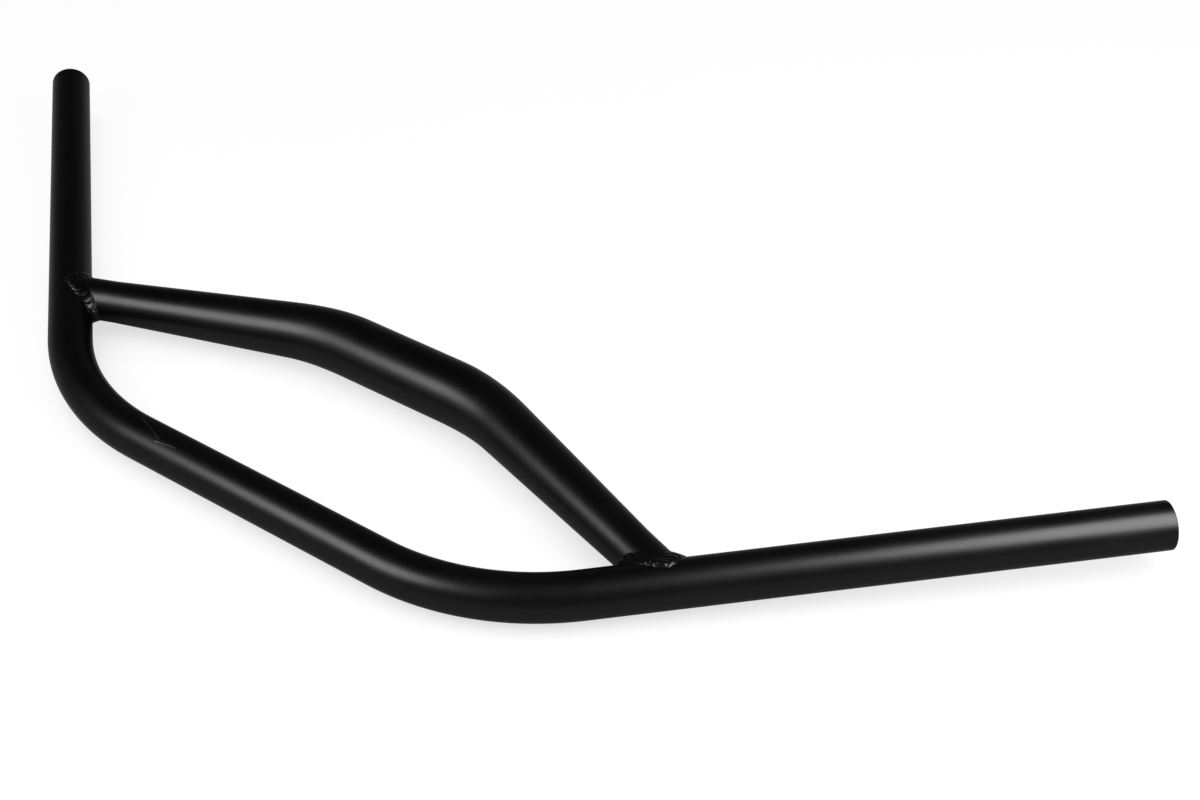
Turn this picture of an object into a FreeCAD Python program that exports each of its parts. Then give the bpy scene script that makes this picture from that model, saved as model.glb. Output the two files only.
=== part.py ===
"""Loop handlebar: a bent front tube with a tapered crossbar welded across its back.

Millimetres and degrees. The origin is the middle of the stem clamp, +X is the rider's
right, +Y is forward and +Z is up. All tube centrelines lie in the plane z = 0, and the
rider's right side is drawn and then mirrored.
"""

import FreeCAD, Part
import math
import os
from FreeCAD import Vector

# Loop tube: one bent tube from grip end to grip end
LOOP_DIAMETER = 22.2
LOOP_WALL = 2.2
FRONT_STRAIGHT = 150.0
LOOP_BEND_RADIUS = 130.0
SWEEP_ANGLE = 42.0
GRIP_RUN = 259.0
END_CHAMFER_OUTSIDE = 0.6
END_CHAMFER_INSIDE = 0.4

# Crossbar tube: parallel under the stem clamp, bent, then tapered down to the loop tube
CLAMP_DIAMETER = 31.8
CLAMP_STRAIGHT = 60.0
CLAMP_SETBACK = 106.5
CROSSBAR_BEND_RADIUS = 119.0
BEND_END_DIAMETER = 28.8
CROSSBAR_WALL = 2.2
LEG_END_STEP = 0.4
LEG_END_RUN = 27.0
JOINT_OFFSET = 37.5

# Weld beads: overlapping dabs of filler round each joint
WELD_FACE = 8.0
WELD_LEG = 5.4
WELD_CROWN = 1.1
WELD_PITCH = 5.2

CENTRE = Vector(0, 0, 0)
RIGHT = Vector(1, 0, 0)
UP = Vector(0, 0, 1)

loop_radius = LOOP_DIAMETER / 2
loop_bore = loop_radius - LOOP_WALL
clamp_radius = CLAMP_DIAMETER / 2
bend_end_radius = BEND_END_DIAMETER / 2
middle_bore = bend_end_radius - CROSSBAR_WALL
leg_end_radius = loop_radius - LEG_END_STEP / 2
leg_end_bore = leg_end_radius - CROSSBAR_WALL

# Centreline of the loop tube: half of the front straight, an arc, then the grip
sweep = math.radians(SWEEP_ANGLE)
front_end = Vector(FRONT_STRAIGHT / 2, CLAMP_SETBACK, 0)
loop_bend_centre = front_end - Vector(0, LOOP_BEND_RADIUS, 0)
grip_axis = Vector(math.cos(sweep), -math.sin(sweep), 0)
grip_start = loop_bend_centre + Vector(math.sin(sweep), math.cos(sweep), 0) * LOOP_BEND_RADIUS
joint = grip_start + grip_axis * JOINT_OFFSET

# Centreline of the crossbar: half of the clamp, an arc, then a leg tangent to it that ends at the joint
clamp_end = Vector(CLAMP_STRAIGHT / 2, 0, 0)
crossbar_bend_centre = clamp_end + Vector(0, CROSSBAR_BEND_RADIUS, 0)
to_joint = joint - crossbar_bend_centre
leg_length = math.sqrt(to_joint.Length**2 - CROSSBAR_BEND_RADIUS**2)
leg_angle = math.atan2(to_joint.y, to_joint.x) + math.atan2(CROSSBAR_BEND_RADIUS, leg_length)
leg_axis = Vector(math.cos(leg_angle), math.sin(leg_angle), 0)
leg_start = joint - leg_axis * leg_length
taper_run = leg_length - LEG_END_RUN
taper_end = leg_start + leg_axis * taper_run


def mirrored(shape):
    """The same shape on the rider's left."""
    return shape.mirror(CENTRE, RIGHT)


def disc(radius, centre):
    """A round section across a tube where it runs along X."""
    return Part.Face(Part.Wire(Part.makeCircle(radius, centre, RIGHT)))


def loop_tube():
    """One bent tube, open at both ends, where its lips are bevelled inside and out."""
    ring = disc(loop_radius, front_end).cut(disc(loop_bore, front_end)).Faces[0]
    front = ring.extrude(RIGHT * -FRONT_STRAIGHT)
    bend = ring.revolve(loop_bend_centre, -UP, SWEEP_ANGLE)
    wall_outline = [
        (0, loop_bore),
        (GRIP_RUN - END_CHAMFER_INSIDE, loop_bore),
        (GRIP_RUN, loop_bore + END_CHAMFER_INSIDE),
        (GRIP_RUN, loop_radius - END_CHAMFER_OUTSIDE),
        (GRIP_RUN - END_CHAMFER_OUTSIDE, loop_radius),
        (0, loop_radius),
        (0, loop_bore),
    ]
    points = [grip_start + grip_axis * along + UP * radius for along, radius in wall_outline]
    grip = Part.Face(Part.makePolygon(points)).revolve(grip_start, grip_axis, 360)
    return front.fuse([bend, grip, mirrored(bend), mirrored(grip)])


def leg_rod(start_radius, end_radius):
    """The crossbar's leg as solid rod: a taper, then a parallel end up to the joint."""
    start = Part.Wire(Part.makeCircle(start_radius, leg_start, leg_axis))
    end = Part.Wire(Part.makeCircle(end_radius, taper_end, leg_axis))
    taper = Part.makeLoft([start, end], True, True)
    return taper.fuse(Part.makeCylinder(end_radius, LEG_END_RUN, taper_end, leg_axis))


def bend_rod(clamp_side, leg_side, leg_rate):
    """The crossbar's bend as solid rod, parallel where it leaves the clamp and in line with the leg's taper.

    Its short segments stand off the true curve by less than a tenth of a millimetre.
    """
    stations = 6
    shrinkage = clamp_side - leg_side
    end_shrinkage = leg_rate * CROSSBAR_BEND_RADIUS * leg_angle
    sections = []
    for station in range(stations):
        share = station / (stations - 1)
        turn = leg_angle * share
        out = Vector(math.sin(turn), -math.cos(turn), 0)
        along = Vector(math.cos(turn), math.sin(turn), 0)
        slimmer = shrinkage * (3 - 2 * share) * share**2 - end_shrinkage * (1 - share) * share**2
        centre = crossbar_bend_centre + out * CROSSBAR_BEND_RADIUS
        sections.append(Part.Wire(Part.makeCircle(clamp_side - slimmer, centre, along)))
    return Part.makeLoft(sections, True, True)


def crossbar_rod(clamp_side, leg_side, leg_end):
    """Solid rod along the whole crossbar, of given radii at the clamp, past the bends and at the joints."""
    clamp = Part.makeCylinder(clamp_side, CLAMP_STRAIGHT, clamp_end, -RIGHT)
    bend = bend_rod(clamp_side, leg_side, (leg_side - leg_end) / taper_run)
    leg = leg_rod(leg_side, leg_end)
    return clamp.fuse([bend, leg, mirrored(bend), mirrored(leg)])


def grip_rod():
    """The grip as solid rod, which the crossbar is coped to and the weld sits on."""
    return Part.makeCylinder(loop_radius, GRIP_RUN, grip_start, grip_axis)


def crossbar_tube():
    """The formed tube, thickest under the clamp and coped at both ends to the grips."""
    outside = crossbar_rod(clamp_radius, bend_end_radius, leg_end_radius)
    bore = crossbar_rod(middle_bore, middle_bore, leg_end_bore)
    return outside.cut([bore, grip_rod(), mirrored(grip_rod())])


def weld_seam():
    """The closed curve round the joint where the leg's outside meets the loop tube's outside."""
    steps = 72
    off_grip = grip_axis.cross(UP)
    off_leg = leg_axis.cross(UP)
    points = []
    for step in range(steps):
        angle = 2 * math.pi * step / steps
        out = (off_leg * math.cos(angle) + UP * math.sin(angle)) * leg_end_radius
        reach = math.sqrt(loop_radius**2 - out.z**2)
        back = (reach - out.dot(off_grip)) / -leg_axis.dot(off_grip)
        points.append(joint + out - leg_axis * back)
    seam = Part.BSplineCurve()
    seam.interpolate(Points=points, PeriodicFlag=True)
    return seam.toShape()


def straight_out(axis, point):
    """Unit vector from an axis through the joint out to a point."""
    offset = point - joint
    return (offset - axis * offset.dot(axis)).normalize()


def weld_bead():
    """A ring of overlapping round dabs along the seam, seated on both tubes.

    A dab's face is as wide from toe to toe as its legs on the two tubes allow, so it is
    narrower and flatter in the sharp corner than over the top, where its crown stands proud.
    """
    full_spread = WELD_FACE / 2
    dab_radius = (full_spread**2 + WELD_CROWN**2) / (2 * WELD_CROWN)
    seam = weld_seam()
    dab_count = round(seam.Length / WELD_PITCH)
    dabs = []
    for point in seam.discretize(Number=dab_count + 1)[:-1]:
        off_loop = straight_out(grip_axis, point)
        off_leg = straight_out(leg_axis, point)
        half_fold = off_loop.getAngle(off_leg) / 2
        toe_spread = min(full_spread, WELD_LEG * math.cos(half_fold))
        sunk = math.sqrt(dab_radius**2 - toe_spread**2) - toe_spread * math.tan(half_fold)
        centre = point - (off_loop + off_leg).normalize() * sunk
        dabs.append(Part.makeSphere(dab_radius, centre, off_loop.cross(off_leg)))
    leg = leg_rod(bend_end_radius, leg_end_radius)
    return dabs[0].fuse(dabs[1:]).cut([grip_rod(), leg])


os.makedirs("parts", exist_ok=True)
right_bead = weld_bead()
nodes = {
    "loop_tube": loop_tube(),
    "crossbar_tube": crossbar_tube(),
    "weld_beads": Part.makeCompound([right_bead, mirrored(right_bead)]),
}
for name, shape in nodes.items():
    shape.exportStep("parts/" + name + ".step")
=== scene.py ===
"""Loop handlebar in black anodised aluminium, lying on a pale studio floor.

The frame is the CAD's: the origin is the middle of the stem clamp, +X is the rider's right,
+Y is forward and +Z is up. Lengths are written in millimetres and scaled to metres where
Blender is given them.
"""

import math
import random

import bmesh
import bpy
from mathutils import Matrix, Vector


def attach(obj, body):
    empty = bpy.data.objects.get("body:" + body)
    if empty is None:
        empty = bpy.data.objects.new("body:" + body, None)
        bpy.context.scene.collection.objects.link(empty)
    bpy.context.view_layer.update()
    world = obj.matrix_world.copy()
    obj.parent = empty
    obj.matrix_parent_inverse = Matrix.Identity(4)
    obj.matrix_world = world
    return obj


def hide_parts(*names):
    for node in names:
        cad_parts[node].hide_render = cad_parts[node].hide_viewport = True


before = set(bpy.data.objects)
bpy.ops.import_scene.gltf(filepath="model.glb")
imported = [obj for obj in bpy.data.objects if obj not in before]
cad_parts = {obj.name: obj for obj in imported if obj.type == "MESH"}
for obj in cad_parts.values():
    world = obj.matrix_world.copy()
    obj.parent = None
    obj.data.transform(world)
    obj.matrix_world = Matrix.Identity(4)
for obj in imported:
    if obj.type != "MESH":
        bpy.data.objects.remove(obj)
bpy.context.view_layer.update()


# Loop tube
# One length of round aluminium tube, bent twice and cut square, that runs from grip end to grip
# end round the front. Its open ends are lightly bevelled inside and out. Blasted and anodised
# black, it carries the crossbar, which is welded to it.

MM = 0.001
RIGHT = Vector((1, 0, 0))
UP = Vector((0, 0, 1))

LOOP_RADIUS = 11.1
LOOP_BORE = 8.9
FRONT_STRAIGHT = 150.0
CLAMP_SETBACK = 106.5
LOOP_BEND_RADIUS = 130.0
SWEEP = math.radians(42)
GRIP_RUN = 259.0
LIP_OUTSIDE = 0.6
LIP_INSIDE = 0.4
LIP_ROOM = 1.0

ROUND_STEPS = 96
FRONT_STEPS = 20
LOOP_BEND_STEPS = 42
GRIP_STEPS = 64
LIP_STEPS = 4
TUBE_CREASE = math.radians(25)

front_end = Vector((FRONT_STRAIGHT / 2, CLAMP_SETBACK, 0))
loop_bend_centre = front_end - Vector((0, LOOP_BEND_RADIUS, 0))
grip_axis = Vector((math.cos(SWEEP), -math.sin(SWEEP), 0))
grip_start = loop_bend_centre + Vector((math.sin(SWEEP), math.cos(SWEEP), 0)) * LOOP_BEND_RADIUS
round_turns = [2 * math.pi * step / ROUND_STEPS for step in range(ROUND_STEPS)]


def ring(centre, along, radius):
    """Points of a round section across a tube that lies flat."""
    side = along.cross(UP)
    return [centre + (side * math.cos(turn) + UP * math.sin(turn)) * radius for turn in round_turns]


def both_sides(right_half):
    """Rings from the rider's left end to the right end, given those from the middle to the right."""
    flipped = []
    for points in reversed(right_half):
        flipped.append([Vector((-p.x, p.y, p.z)) for p in points])
    return flipped + right_half


def bridge(shape, row, following):
    """Faces all the way round between two rings of as many corners."""
    for k in range(len(row)):
        after = (k + 1) % len(row)
        shape.faces.new((row[k], row[after], following[after], following[k]))


def closed_mesh(name, rings):
    """A closed skin over rings of points, each joined to the next and the last to the first."""
    shape = bmesh.new()
    rows = [[shape.verts.new(point * MM) for point in points] for points in rings]
    for row, following in zip(rows, rows[1:] + rows[:1]):
        bridge(shape, row, following)
    bmesh.ops.recalc_face_normals(shape, faces=shape.faces)
    mesh = bpy.data.meshes.new(name)
    shape.to_mesh(mesh)
    shape.free()
    return mesh


def in_scene(name, data):
    """An object that shows a mesh, or holds a lamp or a camera."""
    made = bpy.data.objects.new(name, data)
    bpy.context.scene.collection.objects.link(made)
    return made


def tube(name, outside, bore):
    """A tube wall: rings along the outside one way and along the bore back."""
    mesh = closed_mesh(name, outside + bore[::-1])
    mesh.shade_smooth()
    mesh.set_sharp_from_angle(angle=TUBE_CREASE)
    return in_scene(name, mesh)


def loop_half(radius, lip):
    """Rings from the middle of the front straight to the right grip end."""
    rings = []
    for step in range(FRONT_STEPS):
        centre = Vector((FRONT_STRAIGHT / 2 * (step + 0.5) / FRONT_STEPS, CLAMP_SETBACK, 0))
        rings.append(ring(centre, RIGHT, radius))
    for step in range(LOOP_BEND_STEPS + 1):
        turn = SWEEP * step / LOOP_BEND_STEPS
        out = Vector((math.sin(turn), math.cos(turn), 0))
        along = Vector((math.cos(turn), -math.sin(turn), 0))
        rings.append(ring(loop_bend_centre + out * LOOP_BEND_RADIUS, along, radius))
    for step in range(1, GRIP_STEPS + 1):
        centre = grip_start + grip_axis * ((GRIP_RUN - LIP_ROOM) * step / GRIP_STEPS)
        rings.append(ring(centre, grip_axis, radius))
    for short, lip_radius in lip:
        rings.append(ring(grip_start + grip_axis * (GRIP_RUN - short), grip_axis, lip_radius))
    return rings


outer_lip = []
inner_lip = []
for step in range(LIP_STEPS + 1):
    turn = math.pi / 2 * step / LIP_STEPS
    short = 1 - math.sin(turn)
    drop = 1 - math.cos(turn)
    outer_lip.append((LIP_OUTSIDE * short, LOOP_RADIUS - LIP_OUTSIDE * drop))
    inner_lip.append((LIP_INSIDE * short, LOOP_BORE + LIP_INSIDE * drop))
outside = both_sides(loop_half(LOOP_RADIUS, outer_lip))
bore = both_sides(loop_half(LOOP_BORE, inner_lip))
loop = tube("Loop_tube_bent", outside, bore)

DENSE_BLACK = "#252525"
THIN_BLACK = "#292929"
BARE_METAL = "#6a6a6a"
GRAZING_TINT = "#cccccc"
BLAST_GRAIN = 1.0
BLAST_DEPTH = 0.04
BLAST_PATCH = 30.0
SCRATCH_CORE = 0.08
SCRATCH_EDGE = 0.2
SCRATCHES = (
    (Vector((75.2, 102.9, 0)), Vector((56.3, 109.4, 0))),
    (Vector((57.4, 111.0, 0)), Vector((45.4, 109.6, 0))),
)


def linear(code):
    """A colour for a shader from its sRGB hex value."""
    parts = [int(code[k : k + 2], 16) / 255 for k in (1, 3, 5)]
    return [c / 12.92 if c <= 0.04045 else ((c + 0.055) / 1.055) ** 2.4 for c in parts] + [1.0]


def node(tree, kind, links=(), values=(), **settings):
    """Adds a shader node, sets it up and links its inputs."""
    made = tree.nodes.new(kind)
    for key, value in settings.items():
        setattr(made, key, value)
    for key, value in dict(values).items():
        made.inputs[key].default_value = value
    for key, source in dict(links).items():
        tree.links.new(source, made.inputs[key])
    return made


def blank(name):
    """A material with an empty node tree."""
    material = bpy.data.materials.new(name)
    material.use_nodes = True
    material.node_tree.nodes.clear()
    return material, material.node_tree


def scratch(tree, from_above, start, end):
    """A mask for one straight hairline: 1 on it, fading to 0 beside it."""
    run = end - start
    heading = run.normalized()
    past = node(tree, "ShaderNodeVectorMath", {0: from_above}, {1: start * MM}, operation="SUBTRACT")
    along = node(
        tree, "ShaderNodeVectorMath", {0: past.outputs["Vector"]}, {1: heading}, operation="DOT_PRODUCT",
    )
    within = node(tree, "ShaderNodeClamp", {"Value": along.outputs["Value"]}, {"Max": run.length * MM})
    foot = node(
        tree, "ShaderNodeVectorMath", {"Scale": within.outputs["Result"]}, {0: heading}, operation="SCALE",
    )
    off = node(
        tree, "ShaderNodeVectorMath", {0: past.outputs["Vector"], 1: foot.outputs["Vector"]},
        operation="DISTANCE",
    )
    line = node(
        tree, "ShaderNodeMapRange", {"Value": off.outputs["Value"]},
        {"From Min": SCRATCH_CORE * MM, "From Max": SCRATCH_EDGE * MM, "To Min": 1.0, "To Max": 0.0},
    )
    return line.outputs["Result"]


def anodised_tube():
    """Bead-blasted, black anodised aluminium: a dense black with a wide soft sheen and a fine grain."""
    material, tree = blank("Black anodised aluminium, bead blasted")
    place = node(tree, "ShaderNodeTexCoord").outputs["Object"]
    # The blasted grain is about a tenth of a millimetre and is drawn at a millimetre, or it couldn't be seen
    grain = node(
        tree, "ShaderNodeTexNoise", {"Vector": place},
        {"Scale": 1 / (BLAST_GRAIN * MM), "Detail": 2.0, "Roughness": 0.6},
    )
    # Uneven blasting changes the sheen a little from place to place
    cloud = node(
        tree, "ShaderNodeTexNoise", {"Vector": place}, {"Scale": 1 / (BLAST_PATCH * MM), "Detail": 3.0},
    )
    sheen = node(
        tree, "ShaderNodeMapRange", {"Value": cloud.outputs["Fac"]},
        {"From Min": 0.3, "From Max": 0.7, "To Min": 0.31, "To Max": 0.35},
    )
    rough = node(
        tree, "ShaderNodeMath", {0: grain.outputs["Fac"], 2: sheen.outputs["Result"]}, {1: 0.05},
        operation="MULTIPLY_ADD",
    )
    tone = node(
        tree, "ShaderNodeMix", {"Factor": cloud.outputs["Fac"]},
        {"A": linear(DENSE_BLACK), "B": linear(THIN_BLACK)}, data_type="RGBA",
    )
    # Two hairline scratches on top of the front straight show the paler metal under the black
    from_above = node(
        tree, "ShaderNodeVectorMath", {0: place}, {1: (1, 1, 0)}, operation="MULTIPLY",
    ).outputs["Vector"]
    lines = [scratch(tree, from_above, start, end) for start, end in SCRATCHES]
    scratched = node(tree, "ShaderNodeMath", {0: lines[0], 1: lines[1]}, operation="MAXIMUM")
    height = node(tree, "ShaderNodeSeparateXYZ", {"Vector": place})
    on_top = node(
        tree, "ShaderNodeMath", {0: height.outputs["Z"]}, {1: LOOP_BORE * MM}, operation="GREATER_THAN",
    )
    bare = node(
        tree, "ShaderNodeMath", {0: scratched.outputs["Value"], 1: on_top.outputs["Value"]},
        operation="MULTIPLY",
    )
    marked = node(
        tree, "ShaderNodeMix", {"Factor": bare.outputs["Value"], "A": tone.outputs["Result"]},
        {"B": linear(BARE_METAL)}, data_type="RGBA",
    )
    bump = node(
        tree, "ShaderNodeBump", {"Height": grain.outputs["Fac"]},
        {"Strength": 0.5, "Distance": BLAST_DEPTH * MM},
    )
    shader = node(
        tree, "ShaderNodeBsdfPrincipled",
        {
            "Base Color": marked.outputs["Result"],
            "Roughness": rough.outputs["Value"],
            "Normal": bump.outputs["Normal"],
        },
        {"Metallic": 1.0, "Specular Tint": linear(GRAZING_TINT)},
    )
    node(tree, "ShaderNodeOutputMaterial", {"Surface": shader.outputs["BSDF"]})
    return material


black_tube = anodised_tube()
loop.data.materials.append(black_tube)
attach(loop, "root")
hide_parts("loop_tube")


# Crossbar
# A formed aluminium tube, thick in the middle where the stem clamps it, bent forward on both
# sides of the clamp and tapered to the loop tube's own thickness. Both its ends are coped to
# the loop tube and welded there.

CLAMP_RADIUS = 15.9
CLAMP_STRAIGHT = 60.0
CROSSBAR_BEND_RADIUS = 119.0
BEND_END_RADIUS = 14.4
LEG_END_RADIUS = 10.9
LEG_END_RUN = 27.0
JOINT_OFFSET = 37.5
CROSSBAR_WALL = 2.2

CLAMP_STEPS = 10
CROSSBAR_BEND_STEPS = 30
TAPER_STEPS = 30

joint = grip_start + grip_axis * JOINT_OFFSET
crossbar_bend_centre = Vector((CLAMP_STRAIGHT / 2, CROSSBAR_BEND_RADIUS, 0))
to_joint = joint - crossbar_bend_centre
leg_length = math.sqrt(to_joint.length**2 - CROSSBAR_BEND_RADIUS**2)
leg_angle = math.atan2(to_joint.y, to_joint.x) + math.atan2(CROSSBAR_BEND_RADIUS, leg_length)
leg_axis = Vector((math.cos(leg_angle), math.sin(leg_angle), 0))
leg_start = joint - leg_axis * leg_length
taper_run = leg_length - LEG_END_RUN


def seam_point(turn, radius):
    """Where a line along the leg, at a given radius and turn round it, meets the loop tube's outside."""
    out = (leg_axis.cross(UP) * math.cos(turn) + UP * math.sin(turn)) * radius
    off_grip = grip_axis.cross(UP)
    reach = math.sqrt(LOOP_RADIUS**2 - out.z**2)
    back = (reach - out.dot(off_grip)) / -leg_axis.dot(off_grip)
    return joint + out - leg_axis * back


def crossbar_half(clamp_side, leg_side, leg_end):
    """Rings from the middle of the clamp to the right joint, where the last follows the loop tube."""
    rings = []
    for step in range(CLAMP_STEPS):
        centre = Vector((CLAMP_STRAIGHT / 2 * (step + 0.5) / CLAMP_STEPS, 0, 0))
        rings.append(ring(centre, RIGHT, clamp_side))
    # The bend leaves the clamp parallel and ends in line with the leg's taper
    shrinkage = clamp_side - leg_side
    end_shrinkage = (leg_side - leg_end) / taper_run * CROSSBAR_BEND_RADIUS * leg_angle
    for step in range(CROSSBAR_BEND_STEPS + 1):
        share = step / CROSSBAR_BEND_STEPS
        turn = leg_angle * share
        out = Vector((math.sin(turn), -math.cos(turn), 0))
        along = Vector((math.cos(turn), math.sin(turn), 0))
        slimmer = shrinkage * (3 - 2 * share) * share**2 - end_shrinkage * (1 - share) * share**2
        rings.append(ring(crossbar_bend_centre + out * CROSSBAR_BEND_RADIUS, along, clamp_side - slimmer))
    for step in range(1, TAPER_STEPS + 1):
        share = step / TAPER_STEPS
        centre = leg_start + leg_axis * (taper_run * share)
        rings.append(ring(centre, leg_axis, leg_side + (leg_end - leg_side) * share))
    rings.append([seam_point(turn, leg_end) for turn in round_turns])
    return rings


middle_bore = BEND_END_RADIUS - CROSSBAR_WALL
outside = both_sides(crossbar_half(CLAMP_RADIUS, BEND_END_RADIUS, LEG_END_RADIUS))
bore = both_sides(crossbar_half(middle_bore, middle_bore, LEG_END_RADIUS - CROSSBAR_WALL))
crossbar = tube("Crossbar_formed", outside, bore)
crossbar.data.materials.append(black_tube)
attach(crossbar, "root")
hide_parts("crossbar_tube")


# Weld beads
# A ring of filler round each joint, laid dab upon dab by hand before the bar was blasted and
# anodised. Each dab leans on the one before it, so the bead shows a row of curved ripples. It
# is fused into both tubes.

LOOP_TOE_TOP = 2.4
LOOP_TOE_SIDE = 5.2
LEG_TOE_TOP = 5.2
LEG_TOE_SIDE = 4.6
CROWN_TOP = 0.8
CROWN_CORNER = -1.2
TOE_SUNK = 0.1
ROOT_SUNK = 0.5
RIPPLE_PITCH = 3.5
RIPPLE_DEPTH = 0.62
DEPTH_SCATTER = 0.1
# Edge and bow are shares of the pitch, and the toes wave by a share of the ripple's height
RIPPLE_EDGE = 0.35
EDGE_SCATTER = 0.05
RIPPLE_BOW = 0.7
TOE_WAVE = 0.5
TURN_EASE = 4.5
SHARPEST_FOLD = (math.pi - SWEEP - leg_angle) / 2

SEAM_STEPS = 720
RIPPLE_STEPS = 20
FACE_STEPS = 40
BEAD_CREASE = math.radians(60)


def seam_course():
    """Points at even distances along the seam round the right joint, a whole number to each ripple."""
    fine = [seam_point(2 * math.pi * k / SEAM_STEPS, LEG_END_RADIUS) for k in range(SEAM_STEPS + 1)]
    lengths = [0.0]
    for here, following in zip(fine, fine[1:]):
        lengths.append(lengths[-1] + (following - here).length)
    ripples = round(lengths[-1] / RIPPLE_PITCH)
    points = []
    k = 0
    for step in range(ripples * RIPPLE_STEPS):
        goal = lengths[-1] * step / (ripples * RIPPLE_STEPS)
        while lengths[k + 1] < goal:
            k += 1
        share = (goal - lengths[k]) / (lengths[k + 1] - lengths[k])
        points.append(fine[k].lerp(fine[k + 1], share))
    return ripples, points


def straight_out(axis, point):
    """Unit vector from an axis through the joint out to a point."""
    offset = point - joint
    return (offset - axis * offset.dot(axis)).normalized()


def toe_heading(travel, off_tube, off_other):
    """The way from the seam to the toe on one tube, square to the seam and away from the other tube."""
    heading = travel.cross(off_tube).normalized()
    return heading if heading.dot(off_other) > 0 else -heading


def wrapped(axis, radius, point, heading, distance):
    """The place reached on a tube from a point of its surface by going a distance along the surface."""
    out = straight_out(axis, point)
    around = axis.cross(out)
    turn = heading.dot(around) * distance / radius
    shifted = axis * ((point - joint).dot(axis) + heading.dot(axis) * distance)
    return joint + shifted + (out * math.cos(turn) + around * math.sin(turn)) * radius


def bead_row(points, k, phase, ripple):
    """The bead across one point of the seam: over its face from toe to toe, and back through its root."""
    point = points[k]
    off_loop = straight_out(grip_axis, point)
    off_leg = straight_out(leg_axis, point)
    outward = (off_loop + off_leg).normalized()
    # The seam turns sharply over the top, so the bead's direction is eased over some millimetres there
    ease = round(TURN_EASE / RIPPLE_PITCH * RIPPLE_STEPS)
    travel = (points[(k + ease) % len(points)] - points[k - ease]).normalized()
    sideways = 1 - (point.z / LEG_END_RADIUS) ** 2
    on_loop = LOOP_TOE_TOP + (LOOP_TOE_SIDE - LOOP_TOE_TOP) * sideways**2
    on_leg = LEG_TOE_TOP + (LEG_TOE_SIDE - LEG_TOE_TOP) * sideways
    scallop = TOE_WAVE * ripple(phase - RIPPLE_BOW)
    loop_heading = toe_heading(travel, off_loop, off_leg)
    leg_heading = toe_heading(travel, off_leg, off_loop)
    loop_toe = wrapped(grip_axis, LOOP_RADIUS, point, loop_heading, on_loop + scallop)
    leg_toe = wrapped(leg_axis, LEG_END_RADIUS, point, leg_heading, on_leg + scallop)
    # A flat face would stand at the filled height over the seam, and the crown is added to it
    fold = off_loop.angle(off_leg) / 2
    seam_share = on_loop / (on_loop + on_leg)
    filled = 2 * on_leg * seam_share * math.sin(fold)
    crown = CROWN_TOP + (CROWN_CORNER - CROWN_TOP) * (fold / SHARPEST_FOLD)
    crest = point + outward * (filled + crown)
    rise = (crest - loop_toe.lerp(leg_toe, seam_share)).dot(outward)
    # The toes are not equally far from the seam, and the skew keeps the crest over it
    skew = (0.5 - seam_share) / (seam_share * (1 - seam_share))
    row = [loop_toe - straight_out(grip_axis, loop_toe) * TOE_SUNK]
    for step in range(1, FACE_STEPS):
        share = step / FACE_STEPS
        across = 2 * (share + skew * share * (1 - share)) - 1
        dome = 1 - across**2
        height = (rise + ripple(phase - RIPPLE_BOW * across**2)) * dome
        row.append(loop_toe.lerp(leg_toe, share) + outward * height)
    row.append(leg_toe - straight_out(leg_axis, leg_toe) * TOE_SUNK)
    row.append(point - outward * ROOT_SUNK)
    return row


def right_bead(name, seed, way):
    """The bead round the right joint, with its dabs laid one way or the other along the seam."""
    chance = random.Random(seed)
    first = chance.random()
    ripples, points = seam_course()
    depths = [RIPPLE_DEPTH + chance.uniform(-DEPTH_SCATTER, DEPTH_SCATTER) for _ in range(ripples)]
    edges = [RIPPLE_EDGE + chance.uniform(-EDGE_SCATTER, EDGE_SCATTER) for _ in range(ripples)]

    def ripple(phase):
        """Height of the face above its mean: dabs with a rounded back and a steep front edge."""
        which = math.floor(phase) % ripples
        share = phase - math.floor(phase)
        front = 1 - edges[which]
        rounded = 1 - (1 - share / front) ** 2
        steep = 1 - ((share - front) / edges[which]) ** 2
        return depths[which] * (rounded if share < front else steep) - RIPPLE_DEPTH / 2

    rows = [bead_row(points, k, way * k / RIPPLE_STEPS + first, ripple) for k in range(len(points))]
    return closed_mesh(name, rows)


THIN_WELD_BLACK = "#2a2a2a"
WRINKLE = 0.6
WRINKLE_DEPTH = 0.04


def anodised_weld():
    """Anodised filler: the same black, smoother than the blasted tube, so each ripple catches light."""
    material, tree = blank("Black anodised aluminium, weld filler")
    place = node(tree, "ShaderNodeTexCoord").outputs["Object"]
    # Fine wrinkles of the cooled filler
    wrinkle = node(
        tree, "ShaderNodeTexNoise", {"Vector": place},
        {"Scale": 1 / (WRINKLE * MM), "Detail": 3.0, "Roughness": 0.6},
    )
    rough = node(
        tree, "ShaderNodeMapRange", {"Value": wrinkle.outputs["Fac"]},
        {"From Min": 0.3, "From Max": 0.7, "To Min": 0.30, "To Max": 0.38},
    )
    bump = node(
        tree, "ShaderNodeBump", {"Height": wrinkle.outputs["Fac"]},
        {"Strength": 0.3, "Distance": WRINKLE_DEPTH * MM},
    )
    tone = node(
        tree, "ShaderNodeMix", {"Factor": wrinkle.outputs["Fac"]},
        {"A": linear(DENSE_BLACK), "B": linear(THIN_WELD_BLACK)}, data_type="RGBA",
    )
    shader = node(
        tree, "ShaderNodeBsdfPrincipled",
        {
            "Base Color": tone.outputs["Result"],
            "Roughness": rough.outputs["Result"],
            "Normal": bump.outputs["Normal"],
        },
        {"Metallic": 1.0, "Specular Tint": linear(GRAZING_TINT)},
    )
    node(tree, "ShaderNodeOutputMaterial", {"Surface": shader.outputs["BSDF"]})
    return material


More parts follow.
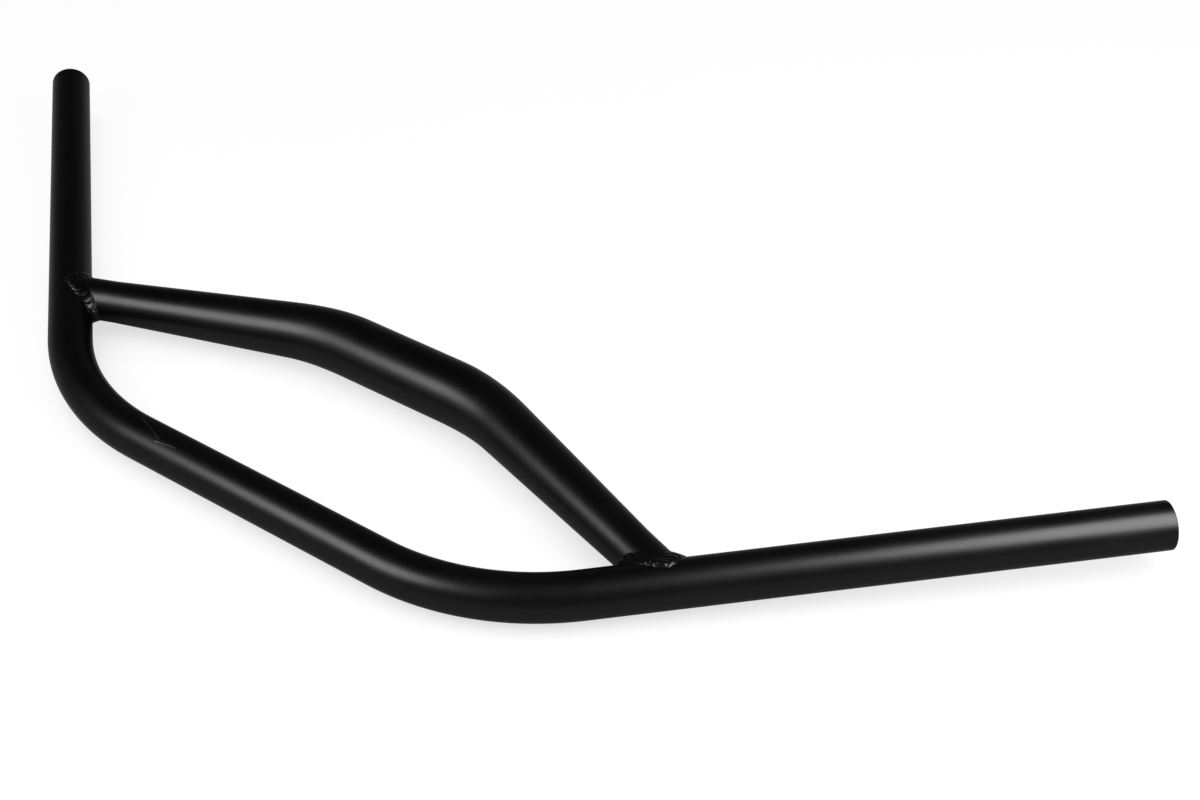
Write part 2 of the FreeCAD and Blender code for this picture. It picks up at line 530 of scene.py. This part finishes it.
black_weld = anodised_weld()
for name, seed, way, mirrored in (("Weld_bead_right", 7, -1, False), ("Weld_bead_left", 4, 1, True)):
    mesh = right_bead(name, seed, way)
    if mirrored:
        mesh.transform(Matrix.Diagonal((-1, 1, 1, 1)))
        mesh.flip_normals()
    mesh.shade_smooth()
    mesh.set_sharp_from_angle(angle=BEAD_CREASE)
    mesh.materials.append(black_weld)
    bead = in_scene(name, mesh)
    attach(bead, "root")
    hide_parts("weld_beads")


# Floor and light
# The bar lies on white paper, which it touches under the clamp and under the front straight. They
# are not of one thickness, so the paper is tilted, and some metres away it turns up like a studio
# sweep. One lamp stands ahead on the rider's right, another over the left grip.

FLOOR_TILT = math.atan2(CLAMP_RADIUS - LOOP_RADIUS, CLAMP_SETBACK)
FLOOR_FLAT = 4000.0
RIM_CURVE = 2500.0
RIM_LIFT = math.radians(45)
RIM_STEPS = 6

PAPER_DULL = "#e4e4e4"
PAPER_CLEAN = "#eaeaea"
PAPER_MOTTLE = 200.0
SHADE_REACH = 50.0
BRIGHT_WITHIN = 400.0
DIM_BEYOND = 1600.0
BURNT_OUT = 0.95


def white_paper():
    """Matt white paper, which the camera sees as an even white with the bar's faint shadow."""
    material, tree = blank("White paper")
    place = node(tree, "ShaderNodeTexCoord").outputs["Object"]
    mottle = node(
        tree, "ShaderNodeTexNoise", {"Vector": place}, {"Scale": 1 / (PAPER_MOTTLE * MM), "Detail": 2.0},
    )
    tone = node(
        tree, "ShaderNodeMix", {"Factor": mottle.outputs["Fac"]},
        {"A": linear(PAPER_DULL), "B": linear(PAPER_CLEAN)}, data_type="RGBA",
    )
    paper = node(tree, "ShaderNodeBsdfDiffuse", {"Color": tone.outputs["Result"]})
    # The bar shades the paper close to it, faintly to the camera, which sees the paper almost burnt out
    near = node(tree, "ShaderNodeAmbientOcclusion", values={"Distance": SHADE_REACH * MM}, samples=8)
    faint = node(
        tree, "ShaderNodeMapRange", {"Value": near.outputs["AO"]},
        {"From Min": 0.1, "From Max": 0.7, "To Min": 0.7, "To Max": 1.0},
    )
    # Reflections show a dimmer paper, less lit away from the lamps, and the bar's shade in full
    away = node(tree, "ShaderNodeVectorMath", {0: place}, operation="LENGTH")
    lit = node(
        tree, "ShaderNodeMapRange", {"Value": away.outputs["Value"]},
        {"From Min": BRIGHT_WITHIN * MM, "From Max": DIM_BEYOND * MM, "To Min": 0.6, "To Max": 0.35},
    )
    reflected = node(
        tree, "ShaderNodeMath", {0: near.outputs["AO"], 1: lit.outputs["Result"]}, operation="MINIMUM",
    )
    path = node(tree, "ShaderNodeLightPath").outputs
    white = node(
        tree, "ShaderNodeMix",
        {"Factor": path["Is Camera Ray"], "A": reflected.outputs["Value"], "B": faint.outputs["Result"]},
    )
    even = node(tree, "ShaderNodeEmission", {"Strength": white.outputs["Result"]})
    seen = node(
        tree, "ShaderNodeMath", {0: path["Is Camera Ray"], 1: path["Is Glossy Ray"]}, operation="ADD",
    )
    any_seen = node(
        tree, "ShaderNodeMath", {0: seen.outputs["Value"], 1: path["Is Transmission Ray"]}, operation="ADD",
    )
    share = node(
        tree, "ShaderNodeMath", {0: any_seen.outputs["Value"]}, {1: BURNT_OUT}, operation="MULTIPLY",
    )
    both = node(
        tree, "ShaderNodeMixShader",
        {"Fac": share.outputs["Value"], 1: paper.outputs["BSDF"], 2: even.outputs["Emission"]},
    )
    node(tree, "ShaderNodeOutputMaterial", {"Surface": both.outputs["Shader"]})
    return material


floor_shape = bmesh.new()
rows = []
for step in range(RIM_STEPS + 1):
    lift = RIM_LIFT * step / RIM_STEPS
    reach = FLOOR_FLAT + RIM_CURVE * math.sin(lift)
    height = RIM_CURVE * (1 - math.cos(lift))
    places = [Vector((reach * math.cos(turn), reach * math.sin(turn), height)) for turn in round_turns]
    rows.append([floor_shape.verts.new(place * MM) for place in places])
floor_shape.faces.new(rows[0])
for row, following in zip(rows, rows[1:]):
    bridge(floor_shape, row, following)
floor_mesh = bpy.data.meshes.new("Studio_floor")
floor_shape.to_mesh(floor_mesh)
floor_shape.free()
floor_mesh.materials.append(white_paper())
floor = in_scene("Studio_floor", floor_mesh)
floor.location = (0, 0, -CLAMP_RADIUS * MM)
floor.rotation_euler = (FLOOR_TILT, 0, 0)


def softbox(name, place, target, size, power):
    """A round lamp of a given width that faces a point."""
    data = bpy.data.lights.new(name, "AREA")
    data.shape = "DISK"
    data.size = size * MM
    data.energy = power
    made = in_scene(name, data)
    made.location = Vector(place) * MM
    made.rotation_euler = (Vector(place) - Vector(target)).to_track_quat("Z", "Y").to_euler()


softbox("Key_lamp", place=(335, 622, 618), target=(0, 50, 0), size=515, power=9.0)
softbox("Side_lamp", place=(-627, -135, 450), target=(-300, -50, 0), size=540, power=11.5)

world = bpy.data.worlds.new("Dim_studio")
bpy.context.scene.world = world
world.use_nodes = True
world.node_tree.nodes.clear()
# The room is dim overhead and a little lighter towards the walls
heading = node(world.node_tree, "ShaderNodeTexCoord").outputs["Generated"]
height = node(world.node_tree, "ShaderNodeSeparateXYZ", {"Vector": heading})
level = node(
    world.node_tree, "ShaderNodeMapRange", {"Value": height.outputs["Z"]},
    {"From Min": 0.0, "From Max": 0.75, "To Min": 0.25, "To Max": 0.04},
)
room = node(
    world.node_tree, "ShaderNodeBackground", {"Strength": level.outputs["Result"]},
    {"Color": linear("#ffffff")},
)
node(world.node_tree, "ShaderNodeOutputWorld", {"Surface": room.outputs["Background"]})


# Camera
# It stands above the front on the rider's left, with a short telephoto lens, and looks down across
# the bar towards the right grip, as in the photograph.

LENS = 51.38
SENSOR_WIDTH = 36.0
CAMERA_PLACE = (-469.543, 460.219, 549.914)
CAMERA_TURN = (48.3624, 2.3493, -144.9948)

camera_data = bpy.data.cameras.new("Camera")
camera_data.lens = LENS
camera_data.sensor_width = SENSOR_WIDTH
camera = in_scene("Camera", camera_data)
camera.location = Vector(CAMERA_PLACE) * MM
camera.rotation_euler = [math.radians(turn) for turn in CAMERA_TURN]
bpy.context.scene.camera = camera
bpy.context.scene.view_settings.view_transform = "Standard"
